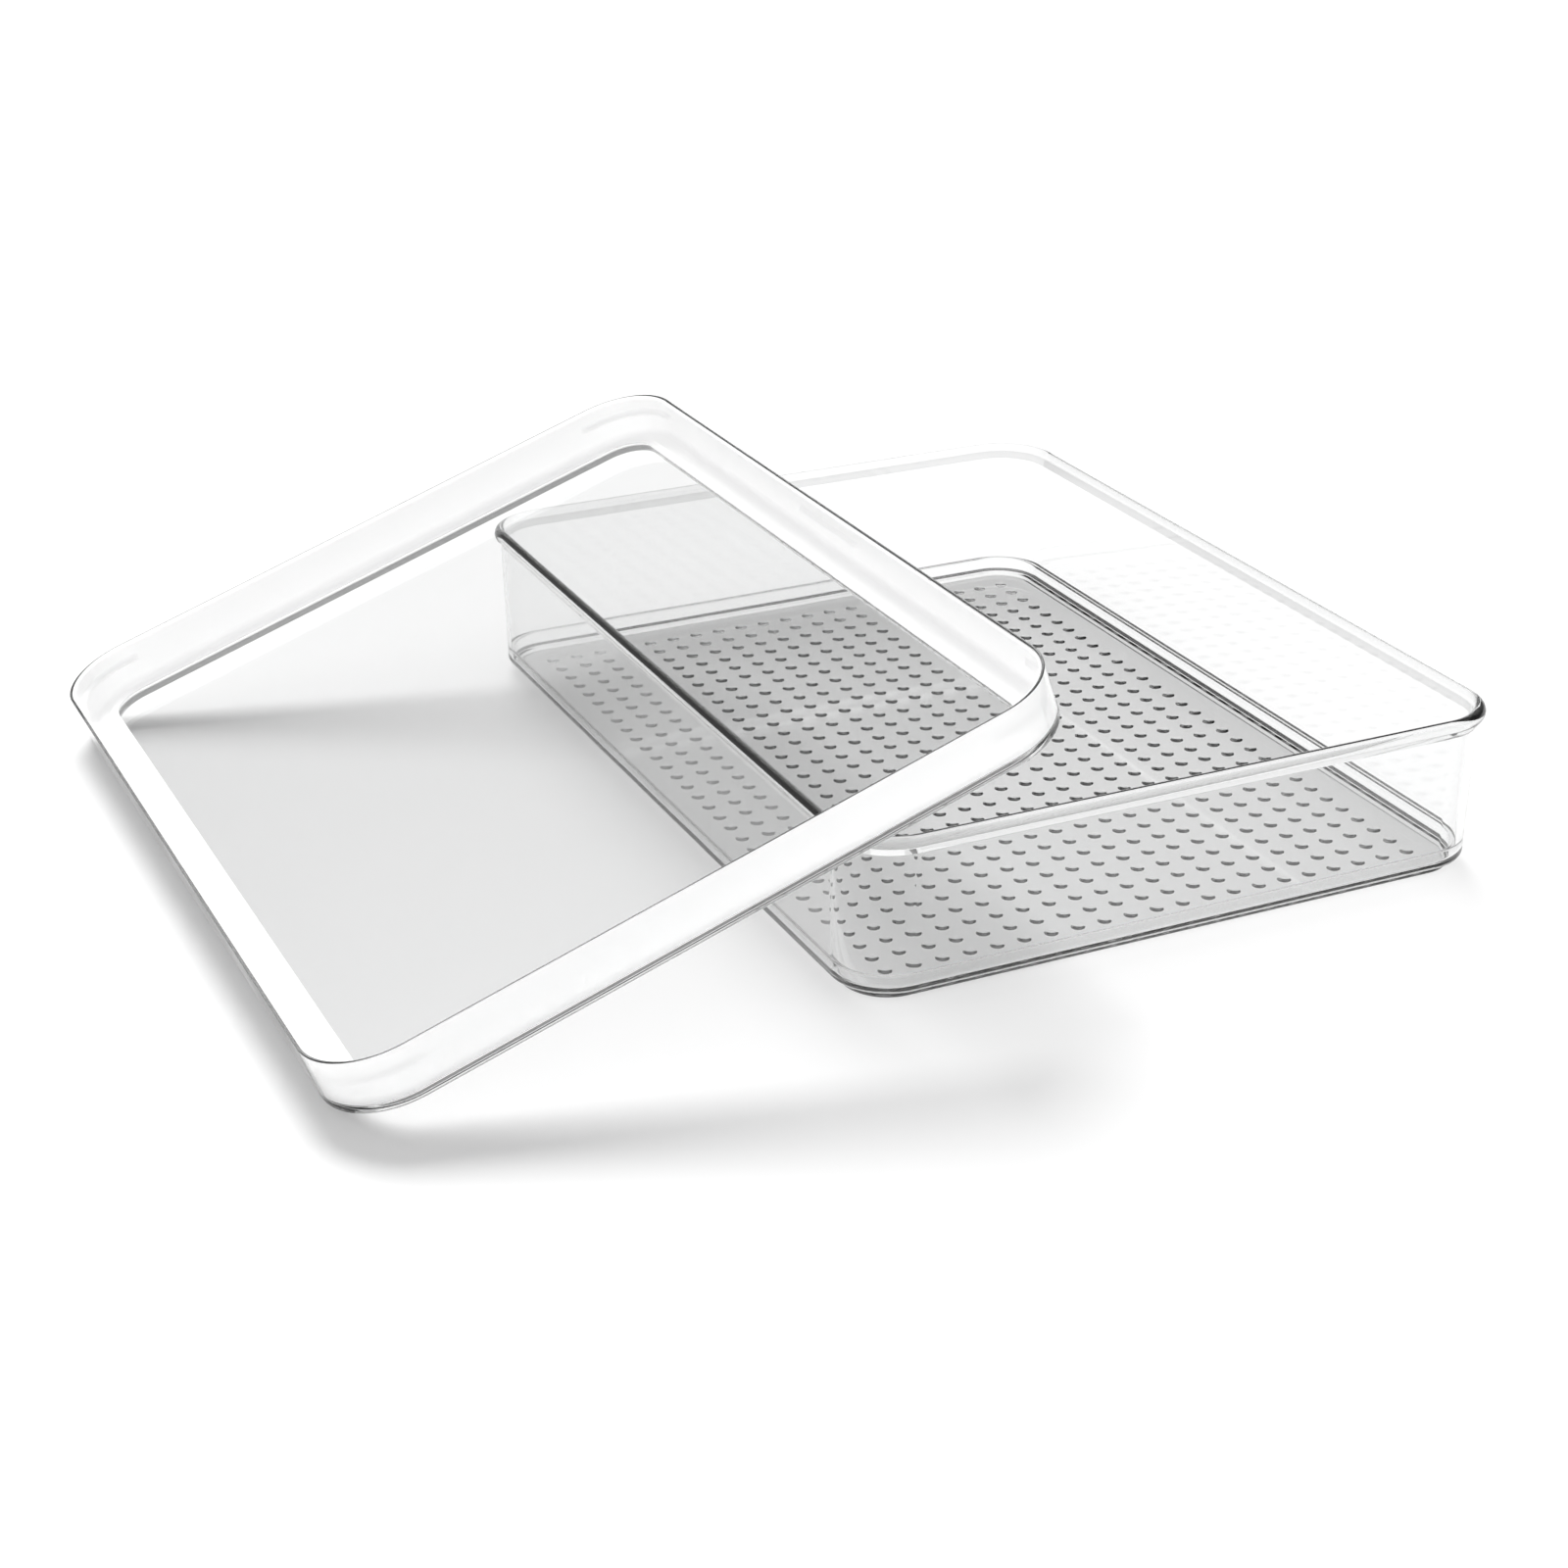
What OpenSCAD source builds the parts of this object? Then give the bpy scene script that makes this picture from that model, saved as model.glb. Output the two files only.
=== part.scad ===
// Refrigerator bin with a lift-off lid, both moulded in clear plastic. A soft white seal lines
// the inside of the lid's skirt and border.
// The bin stands on its foot. The lid lies open side up beside it and leans on the bin's left rim.
// +X runs along the short front wall, +Y towards the back, +Z up, and z = 0 is the surface.

/* [Bin] */
// Width over the rim, along X
bin_w = 234; // [215:1:280]
// Depth over the rim, along Y
bin_d = 315; // [300:1:380]
// Height from the surface to the top of the rim
bin_h = 56; // [45:1:90]
// Plan radius of the rim's outer corners
bin_corner_r = 22; // [18:0.5:30]
// Thickness of the walls and the floor
wall_t = 2.3; // [1.8:0.1:2.6]
// How far the wall leans inwards from the rim down to the ledge
wall_draft = 0.8; // [0.3:0.1:1.2]

/* [Rim] */
// How far the rolled rim stands out from the wall
rim_overhang = 2.2; // [1.5:0.1:2.6]
// Height of the rolled rim
rim_h = 6.2; // [5:0.1:8]

/* [Foot] */
// How far the side of the foot is set in from the rim
foot_inset = 6.8; // [6.5:0.1:7.5]
// Height of the foot, up to the step under the wall
foot_h = 2.8; // [2.4:0.1:3]
// Rounding of the foot's lower edge
foot_edge_r = 1.6; // [1:0.1:2]
// Rounding of the wall's lower edge, above the foot
wall_edge_r = 2.8; // [1.5:0.1:3]
// Height of the inside ledge at the bottom of the wall
ledge_h = 8.8; // [7.5:0.1:10]
// Width of that ledge
ledge_w = 1.8; // [0.8:0.1:2]
// Radius of the hollow corner between the lower wall and the floor
floor_fillet_r = 3.5; // [3:0.1:4]

/* [Floor bumps] */
// Number of bumps across the floor
bump_columns = 21; // [5:2:21]
// Number of bumps along the floor
bump_rows = 31; // [5:2:31]
// Spacing of the bumps across the floor
bump_pitch_x = 9.55; // [8:0.05:9.6]
// Spacing of the bumps along the floor
bump_pitch_y = 9.05; // [8:0.05:9.1]
// Diameter of a bump at the floor
bump_d = 4.8; // [3:0.1:6]
// Height of a bump above the floor
bump_h = 0.7; // [0.5:0.1:1.6]

/* [Lid] */
// Gap between the bin's rim and the seal in the lid's skirt when the lid is on
lid_gap = 3.4; // [2.8:0.1:4]
// Thickness of the clear skirt
skirt_t = 1; // [0.8:0.1:1.3]
// Plan radius of the lid's outer corners
lid_corner_r = 25; // [22:0.5:32]
// Height of the lid from its top face to the free edge of the skirt
lid_h = 19.2; // [16:0.2:25]
// Thickness of the top plate
plate_t = 2.4; // [2:0.1:2.8]
// Rounding of the outer edge between the top plate and the skirt
lid_edge_r = 1.2; // [0.8:0.1:1.6]
// Radius of the hollow corner between the top plate and the skirt
skirt_fillet_r = 1; // [0.5:0.1:1.2]
// Width of the border around the recessed panel
border_w = 11.8; // [11:0.1:14]
// Depth of the recess that takes the foot of a bin stacked on the lid
recess_h = 2.9; // [2:0.1:3.5]
// Thickness of the step between the border and the panel
step_t = 1.4; // [1:0.1:1.8]

/* [Seal] */
// Thickness of the seal on the skirt
seal_t = 0.9; // [0.6:0.1:1.2]
// Thickness of the seal on the border
seal_floor_t = 1.4; // [1.2:0.1:1.8]
// Distance of the seal's top edge from the free edge of the skirt
seal_drop = 0.8; // [0.6:0.1:2]
// Radius of the hollow corner between the seal's upright and flat parts
seal_fillet_r = 2.5; // [1.5:0.5:3]
// Thickness of the seal where it climbs the step
rise_t = 0.6; // [0.4:0.1:1]
// How far the seal's lip stands above the panel
lip_t = 0.5; // [0.3:0.1:0.8]
// How far the lip reaches in over the panel from the step's outside
lip_reach = 0.9; // [0.5:0.1:2]

/* [Snap ribs] */
// How far a snap rib stands in from the seal's upright part
rib_t = 2.2; // [1:0.1:2.6]
// Height of a snap rib
rib_h = 1.6; // [1:0.1:2.5]
// Length of the straight ribs in the middle of the long sides
rib_l = 42; // [15:1:60]
// Distance of a snap rib from the free edge of the skirt
rib_drop = 5.6; // [4:0.1:8]

/* [Resting place of the lid] */
// Angle at which the lid leans on the rim
lean = 19; // [17:0.5:21]
// Slight twist that brings the lid's back left corner down to the surface
twist = 0.25; // [0:0.05:0.5]
// Shift of the lid along Y from the middle of the bin
lid_shift_y = 4; // [0:0.5:8]
// Gap left between the lid and what it lies on
rest_gap = 0.2; // [0.1:0.05:0.5]

/* [Hidden] */
$fn = 96;
clear_plastic = [0.86, 0.9, 0.92, 0.45];
lid_plastic = [0.8, 0.88, 0.93, 0.45];
seal_white = [0.94, 0.94, 0.93];
overlap = 0.01;

// Bin section: u is measured outwards from the axis of a plan corner.
rim_r = (rim_overhang + wall_t) / 2;
rim_u = bin_corner_r - rim_r;
rim_z = bin_h - rim_r;
wall_top_u = bin_corner_r - rim_overhang;
wall_low_u = wall_top_u - wall_draft;
rim_low_z = bin_h - rim_h;
foot_u = bin_corner_r - foot_inset;
foot_flat_u = foot_u - foot_edge_r;
wall_edge_u = wall_low_u - wall_edge_r;
wall_edge_z = foot_h + wall_edge_r;
basin_u = wall_low_u - wall_t - ledge_w;
basin_top_u = basin_u - floor_fillet_r;

// The rim's outer flank is the line from the wall to just inside the rolled edge.
flank_u = wall_top_u - rim_u;
flank_dz = rim_z - rim_low_z;
flank_reach = sqrt(flank_u * flank_u + flank_dz * flank_dz);
flank_bite = 0.96;
flank_r = flank_bite * rim_r;
flank_angle = acos(flank_r / flank_reach) - atan2(flank_dz, flank_u);

// Bumps
bump_sphere_r = (bump_d * bump_d / 4 + bump_h * bump_h) / (2 * bump_h);
bump_root = 0.4;

// Lid section: v is measured outwards from the axis of a plan corner.
lid_w = bin_w + 2 * (lid_gap + seal_t + skirt_t);
lid_d = bin_d + 2 * (lid_gap + seal_t + skirt_t);
skirt_v = lid_corner_r - skirt_t;
recess_v = lid_corner_r - border_w;
step_v = recess_v + step_t;
panel_z = recess_h + plate_t;

// Seal section, with a thin bond line between the seal and the lid
bond = 0.05;
seal_v = skirt_v - seal_t;
seal_back_v = skirt_v - bond;
seal_low_z = plate_t + bond;
seal_floor_z = plate_t + seal_floor_t;
seal_top_z = lid_h - seal_drop;
seal_corner_r = skirt_fillet_r - bond;
seal_corner_v = seal_back_v - seal_corner_r;
seal_corner_z = seal_low_z + seal_corner_r;
rise_back_v = step_v + bond;
rise_v = step_v + rise_t;
lip_v = recess_v - lip_reach;
lip_low_z = panel_z + bond;
lip_z = panel_z + lip_t;
rib_z = lid_h - rib_drop - rib_h;
rib_root = 0.3;

// Where the lid comes to rest. Its outer edge touches the surface at the back left corner, and
// the border round the recess touches the rim where it crosses the rim's front left corner.
lid_low_z = -(lid_w / 2 - lid_edge_r) * sin(lean)
            - (lid_d / 2 - lid_corner_r) * sin(twist) * cos(lean)
            + lid_edge_r * cos(twist) * cos(lean) - lid_edge_r;
lid_z = rest_gap - lid_low_z;
normal_x = -cos(twist) * sin(lean);
normal_y = sin(twist);
normal_z = cos(twist) * cos(lean);
touch_y = lid_shift_y - (lid_d / 2 - border_w);
touch_dy = -touch_y - (bin_d / 2 - bin_corner_r);
touch_x = -(bin_w / 2 - bin_corner_r) - sqrt(rim_u * rim_u - touch_dy * touch_dy);
lid_x = touch_x + (rim_r + rest_gap - normal_y * (lid_shift_y - touch_y)
        - normal_z * (lid_z - rim_z)) / normal_x;

// Carries a section round an outline w by d whose corners turn about axes r inside it.
module around(w, d, r) {
    for (side = [0:3]) {
        across = side % 2 == 0 ? w : d;
        along = side % 2 == 0 ? d : w;
        rotate([0, 0, 90 * side]) translate([across / 2 - r, along / 2 - r, 0]) {
            rotate([90, 0, 0]) linear_extrude(along - 2 * r) children();
            rotate_extrude(angle = 90) children();
        }
    }
}

// Slab between the corner axes of such an outline, from z = low to z = high
module middle(w, d, r, low, high) {
    translate([-w / 2 + r, -d / 2 + r, low]) cube([w - 2 * r, d - 2 * r, high - low]);
}

// Quarter disc that rounds the lower outer corner at [u, z]
module low_corner(u, z, r) {
    translate([u - r, z + r]) intersection() {
        circle(r);
        translate([0, -r]) square(r);
    }
}

// Everything inside the bin's outer skin, below the rim: the foot, the step and the wall
module bin_outside() {
    square([foot_flat_u, foot_h + overlap]);
    low_corner(foot_u, 0, foot_edge_r);
    translate([0, foot_edge_r]) square([foot_u, foot_h - foot_edge_r + overlap]);
    low_corner(wall_low_u, foot_h, wall_edge_r);
    polygon([[0, foot_h], [wall_edge_u, foot_h], [wall_edge_u, wall_edge_z],
             [wall_low_u, wall_edge_z], [wall_low_u, ledge_h], [wall_top_u, rim_low_z],
             [wall_top_u, rim_z], [0, rim_z]]);
}

// The space inside the bin, from the floor up
module bin_inside() {
    polygon([[-overlap, wall_t + floor_fillet_r], [basin_u, wall_t + floor_fillet_r],
             [basin_u, ledge_h], [basin_u + ledge_w, ledge_h],
             [wall_top_u - wall_t, rim_low_z], [wall_top_u - wall_t, bin_h],
             [-overlap, bin_h]]);
    translate([-overlap, wall_t]) square([basin_top_u + overlap, floor_fillet_r + overlap]);
    translate([basin_top_u, wall_t + floor_fillet_r]) intersection() {
        circle(floor_fillet_r);
        translate([-overlap, -floor_fillet_r]) square([floor_fillet_r + overlap, floor_fillet_r]);
    }
}

// Rolled edge with its flank
module rim_section() {
    translate([rim_u, rim_z]) {
        circle(rim_r);
        polygon([[0, 0], [flank_r * cos(flank_angle), flank_r * sin(flank_angle)],
                 [flank_u, -flank_dz], [0, -flank_dz]]);
    }
}

module bin_section() {
    difference() {
        bin_outside();
        bin_inside();
    }
    rim_section();
}

// One ball for each bump of the floor
module bump_balls() {
    for (i = [0:bump_columns - 1], j = [0:bump_rows - 1])
        translate([(i - (bump_columns - 1) / 2) * bump_pitch_x,
                   (j - (bump_rows - 1) / 2) * bump_pitch_y,
                   wall_t + bump_h - bump_sphere_r])
            sphere(bump_sphere_r);
}

// The low caps of those balls, with their roots sunk into the floor
module bumps() {
    intersection() {
        bump_balls();
        translate([-bin_w / 2, -bin_d / 2, wall_t - bump_root])
            cube([bin_w, bin_d, bump_root + 2 * bump_h]);
    }
}

module bin() {
    color(clear_plastic) {
        around(bin_w, bin_d, bin_corner_r) bin_section();
        middle(bin_w, bin_d, bin_corner_r, 0, wall_t);
        bumps();
    }
}

// Half-round free edge, upright skirt, hollow corner, border and the step up to the panel
module lid_section() {
    translate([lid_corner_r - skirt_t / 2, lid_h - skirt_t / 2]) circle(skirt_t / 2);
    difference() {
        union() {
            translate([0, lid_edge_r]) square([lid_corner_r, lid_h - skirt_t / 2 - lid_edge_r]);
            square([lid_corner_r - lid_edge_r, lid_edge_r + overlap]);
            translate([lid_corner_r - lid_edge_r, lid_edge_r]) circle(lid_edge_r);
        }
        translate([step_v, plate_t + skirt_fillet_r])
            square([skirt_v - step_v, lid_h]);
        translate([step_v, plate_t])
            square([skirt_v - skirt_fillet_r - step_v, lid_h]);
        translate([skirt_v - skirt_fillet_r, plate_t + skirt_fillet_r]) circle(skirt_fillet_r);
        translate([-overlap, panel_z]) square([step_v + 2 * overlap, lid_h]);
        translate([-overlap, -overlap]) square([recess_v + overlap, recess_h + overlap]);
    }
}

// Upright part, hollow corner, flat part, rise over the step and the lip on the panel
module seal_section() {
    difference() {
        union() {
            translate([rise_back_v, seal_corner_z])
                square([seal_back_v - rise_back_v, seal_top_z - seal_corner_z]);
            translate([rise_back_v, seal_low_z])
                square([seal_corner_v - rise_back_v, seal_corner_r + overlap]);
            translate([seal_corner_v, seal_corner_z]) circle(seal_corner_r);
            translate([lip_v, lip_low_z])
                square([rise_back_v - lip_v + overlap, lip_z - lip_low_z]);
        }
        translate([rise_v, seal_floor_z + seal_fillet_r]) square([seal_v - rise_v, lid_h]);
        translate([rise_v, seal_floor_z]) square([seal_v - seal_fillet_r - rise_v, lid_h]);
        translate([seal_v - seal_fillet_r, seal_floor_z + seal_fillet_r]) circle(seal_fillet_r);
        translate([lip_v - overlap, lip_z]) square([rise_v - lip_v + 2 * overlap, lid_h]);
    }
}

module rib_section() {
    translate([seal_v - rib_t, rib_z]) square([rib_t + rib_root, rib_h]);
}

// Straight ribs in the middle of the long sides and one round each corner
module snap_ribs() {
    for (side = [-1, 1])
        translate([side * (lid_w / 2 - skirt_t - seal_t - rib_t / 2 + rib_root / 2), 0,
                   rib_z + rib_h / 2])
            cube([rib_t + rib_root, rib_l, rib_h], center = true);
    for (turn = [0:3])
        translate([(turn == 0 || turn == 3 ? 1 : -1) * (lid_w / 2 - lid_corner_r),
                   (turn < 2 ? 1 : -1) * (lid_d / 2 - lid_corner_r), 0])
            rotate([0, 0, 90 * turn]) rotate_extrude(angle = 90) rib_section();
}

// Puts the lid and its seal in their resting place
module leaning() {
    translate([lid_x, lid_shift_y, lid_z]) rotate([-twist, -lean, 0]) children();
}

module lid() {
    color(lid_plastic) leaning() {
        around(lid_w, lid_d, lid_corner_r) lid_section();
        middle(lid_w, lid_d, lid_corner_r, recess_h, panel_z);
    }
}

module lid_seal() {
    color(seal_white) leaning() {
        around(lid_w, lid_d, lid_corner_r) seal_section();
        snap_ribs();
    }
}

bin();
lid();
lid_seal();
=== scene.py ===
from math import cos, pi, radians, sin, tan

import bpy
import numpy as np
from mathutils import Matrix, Vector


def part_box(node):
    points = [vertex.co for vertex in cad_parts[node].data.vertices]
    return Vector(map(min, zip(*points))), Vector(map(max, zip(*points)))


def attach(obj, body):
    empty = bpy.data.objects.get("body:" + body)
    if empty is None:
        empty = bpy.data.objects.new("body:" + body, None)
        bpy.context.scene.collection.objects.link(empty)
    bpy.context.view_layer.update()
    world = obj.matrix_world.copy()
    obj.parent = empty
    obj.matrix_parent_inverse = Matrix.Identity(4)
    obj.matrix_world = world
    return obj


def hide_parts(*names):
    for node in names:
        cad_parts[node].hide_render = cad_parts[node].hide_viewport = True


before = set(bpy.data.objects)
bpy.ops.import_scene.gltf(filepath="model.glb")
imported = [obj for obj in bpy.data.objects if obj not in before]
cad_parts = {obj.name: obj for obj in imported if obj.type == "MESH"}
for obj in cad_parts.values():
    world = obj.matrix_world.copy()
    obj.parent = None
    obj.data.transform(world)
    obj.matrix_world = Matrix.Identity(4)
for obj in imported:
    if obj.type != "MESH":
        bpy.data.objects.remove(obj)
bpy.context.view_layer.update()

MM = 0.001


# ---- Camera --------------------------------------------------------------------------------
# A long lens looks down on the set from the front left. Its height and heading show the bin's
# short front wall, its long left wall and the open side of the lid that leans on it.
lens_mm = 67.51
sensor_mm = 36.0
heading = radians(-25.16)
looking_down = radians(24.61)
roll = radians(-0.23)
camera_place = Vector((-0.457, -0.834, 0.424))

ahead = Vector((-sin(heading) * cos(looking_down), cos(heading) * cos(looking_down), -sin(looking_down)))
level = Vector((cos(heading), sin(heading), 0.0))
upright = level.cross(ahead)
right = level * cos(roll) + upright * sin(roll)
up = upright * cos(roll) - level * sin(roll)

camera_data = bpy.data.cameras.new("camera")
camera_data.lens = lens_mm
camera_data.sensor_width = sensor_mm
camera_data.clip_end = 50.0
camera = bpy.data.objects.new("camera", camera_data)
camera.matrix_world = Matrix.Translation(camera_place) @ Matrix((right, up, -ahead)).transposed().to_4x4()
bpy.context.scene.collection.objects.link(camera)
bpy.context.scene.camera = camera


# ---- Floor and studio ----------------------------------------------------------------------
# A wide matt white table top under a soft lamp from behind. The room is bright low down and
# overhead with a darker band between, which draws the edges of the clear plastic.
class Wire:
    """A value in a node tree. Sums, differences and products of wires add their Math nodes."""

    def __init__(self, tree, socket=None):
        self.tree, self.socket = tree, socket

    def node(self, kind, inputs=None, out=0, stops=None, **settings):
        """Adds a node: its settings first, then the values or wires of its inputs."""
        made = self.tree.nodes.new(kind)
        for name, value in settings.items():
            setattr(made, name, value)
        if stops:
            while len(made.color_ramp.elements) < len(stops):
                made.color_ramp.elements.new(0.5)
            for element, (place, grey) in zip(made.color_ramp.elements, stops):
                element.position, element.color = place, (grey, grey, grey, 1.0)
        for name, value in (inputs or {}).items():
            if isinstance(value, Wire):
                self.tree.links.new(value.socket, made.inputs[name])
            else:
                made.inputs[name].default_value = value
        return Wire(self.tree, made.outputs[out] if made.outputs else None)

    def combine(self, operation, first, second):
        return self.node("ShaderNodeMath", {0: first, 1: second}, operation=operation)

    def __add__(self, other):
        return self.combine("ADD", self, other)

    def __sub__(self, other):
        return self.combine("SUBTRACT", self, other)

    def __rsub__(self, other):
        return self.combine("SUBTRACT", other, self)

    def __mul__(self, other):
        return self.combine("MULTIPLY", self, other)

    __radd__, __rmul__ = __add__, __mul__


def empty_material(name):
    """A material with nothing in it but its output, and a wire to build on."""
    material = bpy.data.materials.new(name)
    material.use_nodes = True
    material.node_tree.nodes.clear()
    return material, Wire(material.node_tree)


def white_table():
    """Matt white with a faint cloudiness, so that it doesn't look like a cut-out."""
    material, wire = empty_material("white_table")
    place = wire.node("ShaderNodeTexCoord", out="Object")
    cloud = wire.node("ShaderNodeTexNoise", {"Vector": place, "Scale": 3.0, "Detail": 2.0})
    white = wire.node("ShaderNodeValToRGB", {"Fac": cloud}, stops=((0.0, 0.895), (1.0, 0.905)))
    shader = wire.node("ShaderNodeBsdfPrincipled",
                       {"Base Color": white, "Roughness": 0.9, "Specular IOR Level": 0.0})
    wire.node("ShaderNodeOutputMaterial", {"Surface": shader})
    return material


floor_size = 8.0
floor_gap = 0.2 * MM
corner = floor_size / 2
floor_mesh = bpy.data.meshes.new("floor")
floor_mesh.from_pydata([(x, y, -floor_gap) for x, y in
                        ((-corner, -corner), (corner, -corner), (corner, corner), (-corner, corner))],
                       [], [(0, 1, 2, 3)])
floor_mesh.materials.append(white_table())
floor = bpy.data.objects.new("floor", floor_mesh)
bpy.context.scene.collection.objects.link(floor)


light_height = radians(45.0)
light_heading = radians(-12.0)
matt_sky_tone = 0.66
glossy_sky_tones = ((0.0, 0.95), (0.13, 0.95), (0.24, 0.18), (0.6, 0.18), (0.8, 1.0))
light_data = bpy.data.lights.new("soft_light", "SUN")
light_data.angle = radians(28.0)
light_data.energy = 2.95
light = bpy.data.objects.new("soft_light", light_data)
light_from = Vector((-sin(light_heading) * cos(light_height),
                     cos(light_heading) * cos(light_height), sin(light_height)))
light.matrix_world = light_from.to_track_quat("Z", "Y").to_matrix().to_4x4()
light.visible_glossy = light.visible_transmission = False
bpy.context.scene.collection.objects.link(light)

world = bpy.data.worlds.new("studio")
world.use_nodes = True
world.node_tree.nodes.clear()
bpy.context.scene.world = world
sky = Wire(world.node_tree)
facing = sky.node("ShaderNodeTexCoord", out="Generated")
height = sky.node("ShaderNodeSeparateXYZ", {"Vector": facing}, out="Z")
tone = sky.node("ShaderNodeValToRGB", {"Fac": height}, stops=glossy_sky_tones)
on_matt = sky.node("ShaderNodeLightPath", out="Is Diffuse Ray")
seen = sky.node("ShaderNodeMix", {"Factor": on_matt, 6: tone, 7: (matt_sky_tone,) * 3 + (1.0,)},
                out=2, data_type="RGBA")
sky.node("ShaderNodeOutputWorld",
         {"Surface": sky.node("ShaderNodeBackground", {"Color": seen, "Strength": 1.0})})
bpy.context.scene.view_settings.view_transform = "Standard"
bounces = bpy.context.scene.cycles
bounces.max_bounces = bounces.transmission_bounces = 16
bounces.glossy_bounces = 12
bounces.transparent_max_bounces = 24


# ---- Bin -----------------------------------------------------------------------------------
# One injection moulding of clear plastic: a shallow tray with a rolled rim, a ledge inside the
# bottom of its wall, a narrower stepped foot, and a floor covered in small round bumps.
def rounded(corners):
    """Outline through corners (u, z, r) with the plastic on its left.

    Each corner turns through an arc of radius r that touches both of its sides: the heading
    goes evenly from the one side's to the other's, and the point is the arc's centre plus
    the signed radius times the normal, which lies to the right of the heading. Gives points
    and normals, and the first and last corners as they are."""
    corner = np.array(corners, float)
    side = np.diff(corner[:, :2], axis=0)
    angle = np.arctan2(side[:, 1], side[:, 0])
    turn = (np.diff(angle) + pi) % (2 * pi) - pi
    radius = corner[1:-1, 2] * np.sign(turn)
    ahead_side = np.stack([np.cos(angle), np.sin(angle)], 1)
    start = corner[1:-1, :2] - ahead_side[:-1] * (radius * np.tan(turn / 2))[:, None]
    heading_there = angle[:-1, None] + turn[:, None] * np.linspace(0, 1, arc_steps + 1)
    normal = np.stack([np.sin(heading_there), -np.cos(heading_there)], 2)
    centre = start - radius[:, None] * normal[:, 0]
    points = centre[:, None] + radius[:, None, None] * normal
    ends = [np.array([[sin(angle[i]), -cos(angle[i])]]) for i in (0, -1)]
    return (np.concatenate([corner[:1, :2], points.reshape(-1, 2), corner[-1:, :2]]),
            np.concatenate([ends[0], normal.reshape(-1, 2), ends[1]]))


def way_round(half_x, half_y, stops_x, stops_y):
    """Stations round a rectangle of corner axes, anticlockwise from its right side.

    Each side has its stops along it and then a quarter turn about the corner axis at its end.
    Gives for each station its base point on the rectangle and the outward direction."""
    base, outward = [], []
    quarter = np.linspace(0, pi / 2, corner_steps + 1)
    for side in range(4):
        half, reach, stops = ((half_y, half_x, stops_y), (half_x, half_y, stops_x))[side % 2]
        heading_out = side * pi / 2
        out = np.array([cos(heading_out), sin(heading_out)])
        along = np.array([-out[1], out[0]])
        straight = reach * out + np.array(stops)[:, None] * along
        base += [straight, np.repeat((reach * out + half * along)[None], len(quarter), 0)]
        bend = heading_out + quarter
        outward += [np.repeat(out[None], len(stops), 0), np.stack([np.cos(bend), np.sin(bend)], 1)]
    return np.concatenate(base), np.concatenate(outward)


def swept_faces(stations, points, ring=False):
    """Squares between each station's outline and the next one's, round the whole piece.

    A ring's outline is closed: its last point joins its first."""
    here, step = np.meshgrid(np.arange(stations), np.arange(points if ring else points - 1),
                             indexing="ij")
    there = (here + 1) % stations
    above = (step + 1) % points
    return np.stack([here * points + step, there * points + step,
                     there * points + above, here * points + above], -1).reshape(-1, 4)


def make_piece(name, places, normals, face_sets, material):
    """A mesh from places in metres, normals worked out by formula, and lists of faces."""
    mesh = bpy.data.meshes.new(name)
    faces = [face for faces in face_sets for face in np.asarray(faces).tolist()]
    mesh.from_pydata(places.tolist(), [], faces)
    mesh.polygons.foreach_set("use_smooth", np.ones(len(faces), bool))
    length = np.linalg.norm(normals, axis=1, keepdims=True)
    mesh.normals_split_custom_set_from_vertices((normals / length).tolist())
    mesh.materials.append(material)
    piece = bpy.data.objects.new(name, mesh)
    bpy.context.scene.collection.objects.link(piece)
    return piece


def clear_plastic(name, tint, clearness, density):
    """Polished clear plastic: a transmissive shader with the faint unevenness of a moulding.

    A slow noise bends the surface by a few hundredths of a millimetre and a finer one changes
    how polished it is. Lamps and the light that the table sends back pass straight through,
    dimmed by clearness, so that the piece throws a soft grey shadow. The plastic takes up the
    share one minus exp(-density times the way in metres) of the light that goes along in it."""
    material, wire = empty_material(name)
    place = wire.node("ShaderNodeTexCoord", out="Object")
    flow = wire.node("ShaderNodeTexNoise", {"Vector": place, "Scale": 22.0, "Detail": 1.0})
    grain = wire.node("ShaderNodeTexNoise", {"Vector": place, "Scale": 260.0, "Detail": 3.0})
    relief = wire.node("ShaderNodeBump", {"Height": flow, "Strength": 0.05, "Distance": 1.5 * MM})
    colour = wire.node("ShaderNodeMix", {"Factor": flow, 6: (*tint, 1.0), 7: (1.0, 1.0, 1.0, 1.0)},
                       out=2, data_type="RGBA")
    plastic = wire.node("ShaderNodeBsdfPrincipled",
                        {"Base Color": colour, "Roughness": grain * 0.03, "Normal": relief,
                         "IOR": plastic_ior, "Transmission Weight": 1.0})
    passed = wire.node("ShaderNodeBsdfTransparent", {"Color": (clearness,) * 3 + (1.0,)})
    lamp_ray = wire.node("ShaderNodeLightPath", out="Is Shadow Ray")
    table_ray = wire.node("ShaderNodeLightPath", out="Is Diffuse Ray")
    inner = wire.node("ShaderNodeMixShader", {0: table_ray, 1: plastic, 2: passed})
    surface = wire.node("ShaderNodeMixShader", {0: lamp_ray, 1: inner, 2: passed})
    depth = wire.node("ShaderNodeVolumeAbsorption",
                      {"Color": (0.0, 0.0, 0.0, 1.0), "Density": density})
    wire.node("ShaderNodeOutputMaterial", {"Surface": surface, "Volume": depth})
    return material


arc_steps = 7
corner_steps = 18
plastic_ior = 1.52
plastic_tint = (0.985, 0.99, 0.99)

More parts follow.
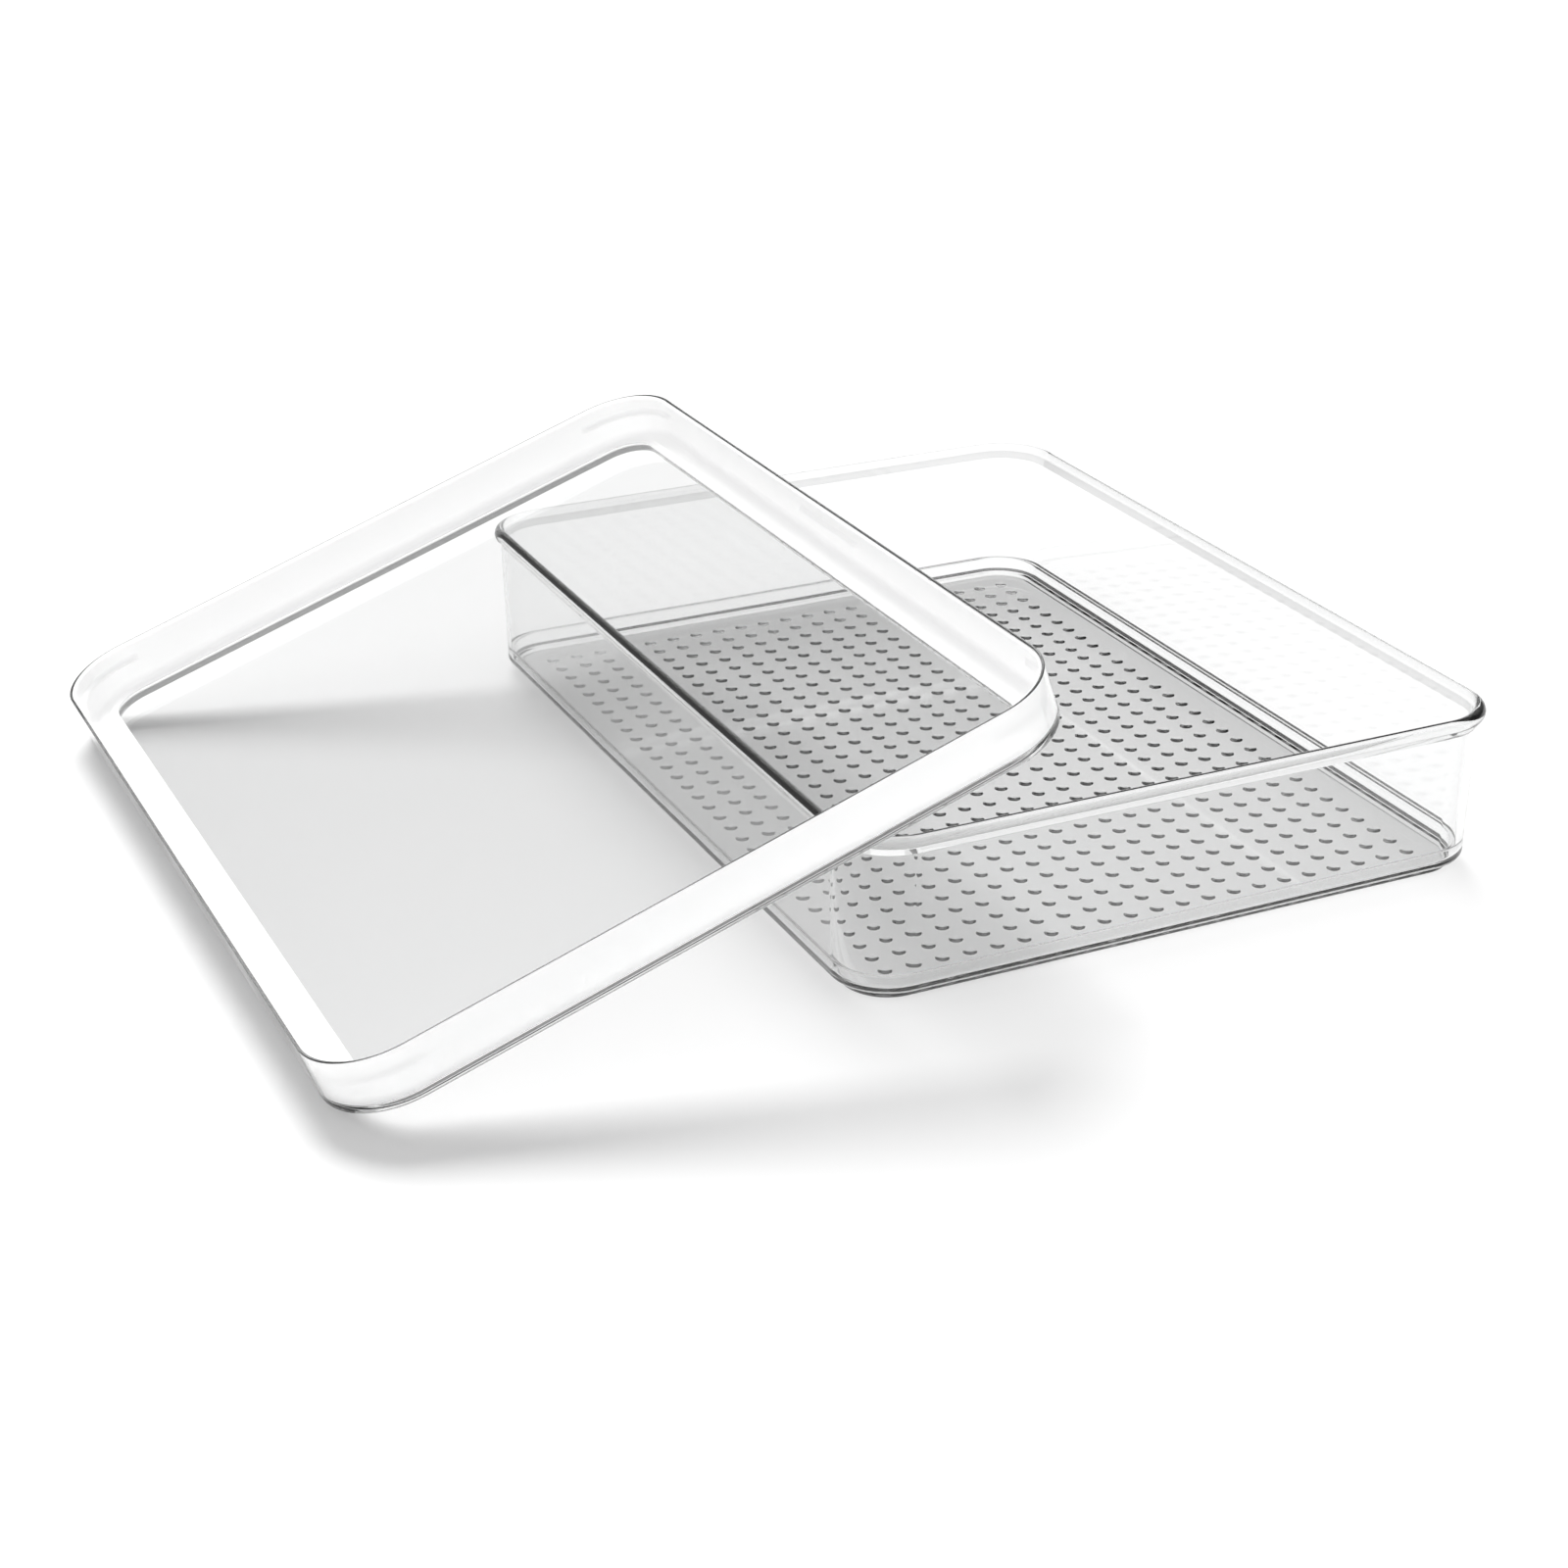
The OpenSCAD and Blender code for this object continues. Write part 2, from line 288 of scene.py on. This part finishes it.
bin_low, bin_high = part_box("bin")
bin_w, bin_d, bin_h = (bin_high - bin_low) / MM
bin_corner_r = 22.0
wall_t = 2.3
wall_draft = 0.8
rim_overhang = 2.2
rim_h = 6.2
foot_inset = 6.8
foot_h = 2.8
foot_edge_r = 1.6
wall_edge_r = 2.8
notch_r = 0.25
wall_bend_r = 2.0
rim_foot_r = 0.6
floor_margin = 0.4
ledge_h = 8.8
ledge_w = 1.8
floor_fillet_r = 3.5
edge_r = 0.8
rim_r = (rim_overhang + wall_t) / 2
wall_top_u = bin_corner_r - rim_overhang
wall_low_u = wall_top_u - wall_draft
rim_low_z = bin_h - rim_h
foot_u = bin_corner_r - foot_inset
basin_u = wall_low_u - wall_t - ledge_w
flat_u = basin_u - floor_fillet_r - floor_margin

# The rim's outer flank is the line from the wall that just touches the rolled edge.
flank_u = wall_top_u - (bin_corner_r - rim_r)
flank_dz = rim_h - rim_r
flank_turn = np.arccos(rim_r / np.hypot(flank_u, flank_dz)) - np.arctan2(flank_dz, flank_u)
rim_side_z = bin_h - rim_r - rim_r * tan(-flank_turn / 2)

bin_outline, bin_normal = rounded([
    (flat_u, 0, 0),
    (foot_u, 0, foot_edge_r),
    (foot_u, foot_h, notch_r),
    (wall_low_u, foot_h, wall_edge_r),
    (wall_low_u, ledge_h, wall_bend_r),
    (wall_top_u, rim_low_z, rim_foot_r),
    (bin_corner_r, rim_side_z, rim_r),
    (bin_corner_r, bin_h, rim_r),
    (wall_top_u - wall_t, bin_h, rim_r),
    (wall_top_u - wall_t, rim_low_z, wall_bend_r),
    (wall_low_u - wall_t, ledge_h, edge_r),
    (basin_u, ledge_h, edge_r),
    (basin_u, wall_t, floor_fillet_r),
    (flat_u, wall_t, 0),
])

# The bumps stand in a grid of square fields. A bump's height falls from its middle by the
# fourth power of the distance, so its top is nearly flat and its edge is steep.
bump_columns, bump_rows = 21, 31
bump_pitch = np.array([9.55, 9.05])
bump_r = 2.4
bump_h = 0.7
bump_sides = 12
bump_rings = np.array([1.0, 0.94, 0.8, 0.6, 0.3])

field_x = (np.arange(bump_columns + 1) - bump_columns / 2) * bump_pitch[0]
field_y = (np.arange(bump_rows + 1) - bump_rows / 2) * bump_pitch[1]
axis_x, axis_y = bin_w / 2 - bin_corner_r, bin_d / 2 - bin_corner_r
base, outward = way_round(axis_x, axis_y, field_x[1:-1], field_y[1:-1])
stations, points = len(base), len(bin_outline)

shell = np.concatenate([base[:, None] + outward[:, None] * bin_outline[None, :, :1],
                        np.broadcast_to(bin_outline[None, :, 1:], (stations, points, 1))], 2)
shell_normal = np.concatenate([outward[:, None] * bin_normal[None, :, :1],
                               np.broadcast_to(bin_normal[None, :, 1:], (stations, points, 1))], 2)

field_z = np.full((bump_columns + 1, bump_rows + 1), wall_t)
grid = np.stack([*np.meshgrid(field_x, field_y, indexing="ij"), field_z], 2)
centre = np.stack(np.meshgrid((field_x[1:] + field_x[:-1]) / 2, (field_y[1:] + field_y[:-1]) / 2,
                              indexing="ij"), 2).reshape(-1, 2)
turn = np.arange(bump_sides) * 2 * pi / bump_sides
ray = np.stack([np.cos(turn), np.sin(turn)], 1)
dome_xy = centre[:, None, None] + bump_r * bump_rings[None, :, None, None] * ray[None, None]
dome_z = wall_t + bump_h * (1 - bump_rings ** 4)
dome_slope = np.where(bump_rings < 1, 4 * bump_h / bump_r * bump_rings ** 3, 0.0)
dome_level = np.broadcast_to(dome_z[None, :, None, None], dome_xy.shape[:3] + (1,))
dome = np.concatenate([dome_xy, dome_level], 3)
dome_normal = np.concatenate([dome_slope[:, None, None] * ray[None],
                              np.ones((len(bump_rings), bump_sides, 1))], 2)
dome_normal = np.broadcast_to(dome_normal[None], dome.shape)
peak = np.concatenate([centre, np.full((len(centre), 1), wall_t + bump_h)], 1)

first_grid = stations * points
first_dome = first_grid + grid.size // 3
first_peak = first_dome + dome.size // 3
grid_at = first_grid + np.arange(grid.size // 3).reshape(bump_columns + 1, bump_rows + 1)
dome_at = first_dome + np.arange(dome.size // 3).reshape(len(centre), len(bump_rings), bump_sides)
peak_at = first_peak + np.arange(len(centre))

turned = np.roll(dome_at, -1, axis=2)
dome_sides = np.stack([dome_at[:, :-1], turned[:, :-1], turned[:, 1:], dome_at[:, 1:]],
                      -1).reshape(-1, 4)
dome_tops = np.stack([dome_at[:, -1], turned[:, -1],
                      np.broadcast_to(peak_at[:, None], dome_at[:, -1].shape)], -1).reshape(-1, 3)
field_corner = np.stack([grid_at[1:, 1:], grid_at[:-1, 1:], grid_at[:-1, :-1], grid_at[1:, :-1]],
                        -1).reshape(-1, 4)
foot = dome_at[:, 0].reshape(len(centre), 4, 3)
next_foot = np.roll(foot[:, :, 0], -1, axis=1)
field_faces = np.concatenate([
    np.stack([foot[:, :, 0], np.roll(field_corner, 1, axis=1), field_corner], -1).reshape(-1, 3),
    np.stack([foot[:, :, 0], field_corner, foot[:, :, 1]], -1).reshape(-1, 3),
    np.stack([foot[:, :, 1], field_corner, foot[:, :, 2]], -1).reshape(-1, 3),
    np.stack([foot[:, :, 2], field_corner, next_foot], -1).reshape(-1, 3)])

# The margin between the field of bumps and the hollow corner: squares along the sides and a
# fan at each corner, where the outermost grid point looks out over the whole bend.
loop = np.arange(stations) * points + points - 1
edge = np.concatenate([
    grid_at[-1, 1:-1], np.full(corner_steps + 1, grid_at[-1, -1]),
    grid_at[-2:0:-1, -1], np.full(corner_steps + 1, grid_at[0, -1]),
    grid_at[0, -2:0:-1], np.full(corner_steps + 1, grid_at[0, 0]),
    grid_at[1:-1, 0], np.full(corner_steps + 1, grid_at[-1, 0])])
next_loop, next_edge = np.roll(loop, -1), np.roll(edge, -1)
straight = edge != next_edge
margin_squares = np.stack([loop, next_loop, next_edge, edge], 1)[straight]
margin_fans = np.stack([loop, next_loop, edge], 1)[~straight]
underside = (np.arange(stations) * points)[::-1][None]

flat_up = np.array([0.0, 0.0, 1.0])
bin_places = np.concatenate([shell.reshape(-1, 3), grid.reshape(-1, 3), dome.reshape(-1, 3), peak]) * MM
bin_normals = np.concatenate([shell_normal.reshape(-1, 3), np.broadcast_to(flat_up, (grid.size // 3, 3)),
                              dome_normal.reshape(-1, 3), np.broadcast_to(flat_up, peak.shape)])
bin_piece = make_piece(
    "clear_bin", bin_places, bin_normals,
    [swept_faces(stations, points), dome_sides, dome_tops, field_faces, margin_squares,
     margin_fans, underside],
    clear_plastic("clear_bin_plastic", plastic_tint, clearness=0.92, density=19.0))
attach(bin_piece, "bin")
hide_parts("bin")


# ---- Lid -----------------------------------------------------------------------------------
# One injection moulding of the same plastic: a recessed panel in a raised border and a thin
# upright skirt. It lies open side up and leans on the bin's left rim.
lid_margin = 5.3
lid_w = bin_w + 2 * lid_margin
lid_d = bin_d + 2 * lid_margin
lid_h = 19.2
lid_corner_r = 25.0
skirt_t = 1.0
plate_t = 2.4
lid_edge_r = 1.2
skirt_fillet_r = 1.0
border_w = 11.8
recess_h = 2.9
step_t = 1.4
step_r = 0.5
free_r = 0.49
panel_overlap = 1.5
lean = radians(19.0)
twist = radians(0.25)

skirt_v = lid_corner_r - skirt_t
recess_v = lid_corner_r - border_w
step_v = recess_v + step_t
flat_v = recess_v - panel_overlap
panel_z = recess_h + plate_t
lid_outline, lid_normal = rounded([
    (flat_v, recess_h, 0),
    (recess_v, recess_h, step_r),
    (recess_v, 0, step_r),
    (lid_corner_r, 0, lid_edge_r),
    (lid_corner_r, lid_h, free_r),
    (skirt_v, lid_h, free_r),
    (skirt_v, plate_t, skirt_fillet_r),
    (step_v, plate_t, step_r),
    (step_v, panel_z, step_r),
    (flat_v, panel_z, 0)])

lid_axis_x, lid_axis_y = lid_w / 2 - lid_corner_r, lid_d / 2 - lid_corner_r
base, outward = way_round(lid_axis_x, lid_axis_y, [0.0], [0.0])
stations, points = len(base), len(lid_outline)
lid_shell = np.concatenate([base[:, None] + outward[:, None] * lid_outline[None, :, :1],
                            np.broadcast_to(lid_outline[None, :, 1:], (stations, points, 1))], 2)
lid_shell_normal = np.concatenate([outward[:, None] * lid_normal[None, :, :1],
                                   np.broadcast_to(lid_normal[None, :, 1:], (stations, points, 1))], 2)

# The leaning place: twisted a little about X, then tilted about Y, and moved so that the
# lid's box is where the frame has it.
tilt = np.array([[cos(-lean), 0, sin(-lean)], [0, 1, 0], [-sin(-lean), 0, cos(-lean)]])
roll_x = np.array([[1, 0, 0], [0, cos(-twist), -sin(-twist)], [0, sin(-twist), cos(-twist)]])
leaning = tilt @ roll_x
lid_places = lid_shell.reshape(-1, 3) @ leaning.T * MM
lid_normals = lid_shell_normal.reshape(-1, 3) @ leaning.T
lid_low, lid_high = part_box("lid")
lid_shift = (np.array(lid_low + lid_high) - lid_places.min(0) - lid_places.max(0)) / 2

first = np.arange(stations) * points
lid_piece = make_piece("clear_lid", lid_places + lid_shift, lid_normals,
                       [swept_faces(stations, points), first[::-1][None], (first + points - 1)[None]],
                       clear_plastic("clear_lid_plastic", plastic_tint, clearness=0.9,
                                     density=8.0))
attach(lid_piece, "lid")
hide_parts("lid")


# ---- Lid seal ------------------------------------------------------------------------------
# A lining of soft white rubber moulded into the lid: it covers the inside of the skirt and the
# border, climbs the step and ends in a thin lip on the panel. Its snap ribs grip the bin's rim.
bond = 0.05
seal_t = 0.9
seal_floor_t = 1.4
seal_drop = 0.8
seal_edge_r = 0.25
seal_fillet_r = 2.5
rise_t = 0.6
lip_t = 0.5
lip_reach = 0.9
lip_r = 0.2
lip_under_r = 0.05
rise_foot_r = 0.3
rise_back_r = 0.1
rib_t = 1.7
rib_h = 2.2
rib_z = 12.8
rib_half = 21.0
rib_fade = 1.6
rib_row_count = 13
rib_row_reach = 0.9
rib_end = 1.99
fade_stops = 9
fade_reach = 1.6
bend_reach = 4
bend_hold = 2
straight_out = 0.999
tiny_step = 1e-6

seal_v = skirt_v - seal_t
seal_back_v = skirt_v - bond
seal_low_z = plate_t + bond
seal_floor_z = plate_t + seal_floor_t
seal_top_z = lid_h - seal_drop
rise_back_v = step_v + bond
rise_v = step_v + rise_t
lip_v = recess_v - lip_reach
lip_low_z = panel_z + bond
lip_z = panel_z + lip_t

outer, outer_normal = rounded([
    (recess_v, lip_low_z, 0),
    (rise_back_v, lip_low_z, lip_under_r),
    (rise_back_v, seal_low_z, rise_back_r),
    (seal_back_v, seal_low_z, skirt_fillet_r - bond),
    (seal_back_v, seal_top_z, seal_edge_r),
    (seal_v, seal_top_z, seal_edge_r),
    (seal_v, rib_z + rib_h, 0)])
rib_rows = rib_z + rib_h * np.linspace(rib_row_reach, -rib_row_reach, rib_row_count)
inner, inner_normal = rounded([
    (seal_v, rib_z - rib_h, 0),
    (seal_v, seal_floor_z, seal_fillet_r),
    (rise_v, seal_floor_z, rise_foot_r),
    (rise_v, lip_z, lip_r),
    (lip_v, lip_z, lip_r),
    (lip_v, lip_low_z, lip_under_r),
    (recess_v, lip_low_z, 0)])
rib_face = np.stack([np.full(len(rib_rows), seal_v), rib_rows], 1)
seal_outline = np.concatenate([outer, rib_face, inner[:-1]])
seal_normal = np.concatenate([outer_normal, np.tile([-1.0, 0.0], (len(rib_rows), 1)),
                              inner_normal[:-1]])

# A rib stands in from the seal by its thickness times a rounded flat-topped bell across it.
# The corners of the outline above and below it, two half-heights away, stay where they are.
across_rib = (seal_outline[:, 1] - rib_z) / (rib_h / 2)
on_skirt = np.isclose(seal_outline[:, 0], seal_v) & (np.abs(across_rib) < rib_end)
bell = np.where(on_skirt, np.exp(-across_rib ** 4), 0.0)
bell_slope = -bell * 4 * across_rib ** 3 / (rib_h / 2)

# Stations stand close together where a rib fades: past each bend and about each rib's end. The
# reach of both, and how far a rib holds on past a bend, are counted in lengths of the fade.
near_corner = np.linspace(0, bend_reach * rib_fade, fade_stops)
near_rib = rib_half + rib_fade * np.linspace(-fade_reach, fade_reach, fade_stops)
stops_x = np.unique(np.concatenate([[0.0], lid_axis_x - near_corner, near_corner - lid_axis_x]))
stops_y = np.unique(np.concatenate([[0.0], lid_axis_y - near_corner, near_corner - lid_axis_y,
                                    near_rib, -near_rib]))
base, outward = way_round(lid_axis_x, lid_axis_y, stops_x[1:-1], stops_y[1:-1])
stations, points = len(base), len(seal_outline)
along = np.stack([-outward[:, 1], outward[:, 0]], 1)

# How much of a rib each station has: all of it on the bends and in the middle of the long
# sides, and none between, with an even fade at the ends.
past_bend = np.maximum(lid_axis_x - np.abs(base[:, 0]), lid_axis_y - np.abs(base[:, 1]))
on_long_side = np.isclose(np.abs(base[:, 0]), lid_axis_x) & (np.abs(outward[:, 0]) > straight_out)
past_middle = np.where(on_long_side, np.abs(base[:, 1]) - rib_half, lid_d)


def fade(distance):
    """One before the rib's end, none after it, and a smooth step between."""
    t = np.clip(0.5 - distance / (2 * rib_fade), 0, 1)
    return t * t * (3 - 2 * t)


share = np.maximum(fade(past_bend - bend_hold * rib_fade), fade(past_middle))
paces = np.linalg.norm(np.diff(base + outward * seal_v, axis=0), axis=1)
walked = np.concatenate([[0], np.cumsum(paces)])
share_slope = np.gradient(share, walked + np.arange(stations) * tiny_step)

inset = share[:, None] * bell[None] * rib_t
slope_z = -share[:, None] * bell_slope[None] * rib_t
slope_s = -share_slope[:, None] * bell[None] * rib_t
reach = seal_outline[None, :, 0] - inset
flat_normal = (outward[:, None] * seal_normal[None, :, :1]
               - (slope_s * seal_normal[None, :, 0])[..., None] * along[:, None])
seal_shell = np.concatenate([base[:, None] + outward[:, None] * reach[..., None],
                             np.broadcast_to(seal_outline[None, :, 1:], (stations, points, 1))], 2)
seal_shell_normal = np.concatenate(
    [flat_normal, (seal_normal[None, :, 1] - slope_z * seal_normal[None, :, 0])[..., None]], 2)


def soft_white_rubber():
    """Matt white with a fine grain; light soaks a few millimetres into it.

    A faint glow is painted light: it lightens the lining's faces that lie in shade."""
    material, wire = empty_material("soft_white_rubber")
    place = wire.node("ShaderNodeTexCoord", out="Object")
    grain = wire.node("ShaderNodeTexNoise", {"Vector": place, "Scale": 900.0, "Detail": 3.0})
    relief = wire.node("ShaderNodeBump", {"Height": grain, "Strength": 0.15, "Distance": 0.2 * MM})
    white = wire.node("ShaderNodeValToRGB", {"Fac": grain}, stops=((0.3, 0.95), (0.7, 0.98)))
    shader = wire.node("ShaderNodeBsdfPrincipled",
                       {"Base Color": white, "Roughness": 0.45 + grain * 0.2, "Normal": relief,
                        "Subsurface Weight": 0.7, "Subsurface Radius": (1.0, 1.0, 1.0),
                        "Subsurface Scale": 3.0 * MM, "Specular IOR Level": 0.35,
                        # Painted light: a faint white glow that lightens the lining where it lies in
                        # shade.
                        "Emission Color": (1.0, 1.0, 1.0, 1.0), "Emission Strength": 0.12})
    wire.node("ShaderNodeOutputMaterial", {"Surface": shader})
    return material


seal_piece = make_piece("white_seal", seal_shell.reshape(-1, 3) @ leaning.T * MM + lid_shift,
                        seal_shell_normal.reshape(-1, 3) @ leaning.T,
                        [swept_faces(stations, points, ring=True)], soft_white_rubber())
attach(seal_piece, "lid")
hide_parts("lid_seal")
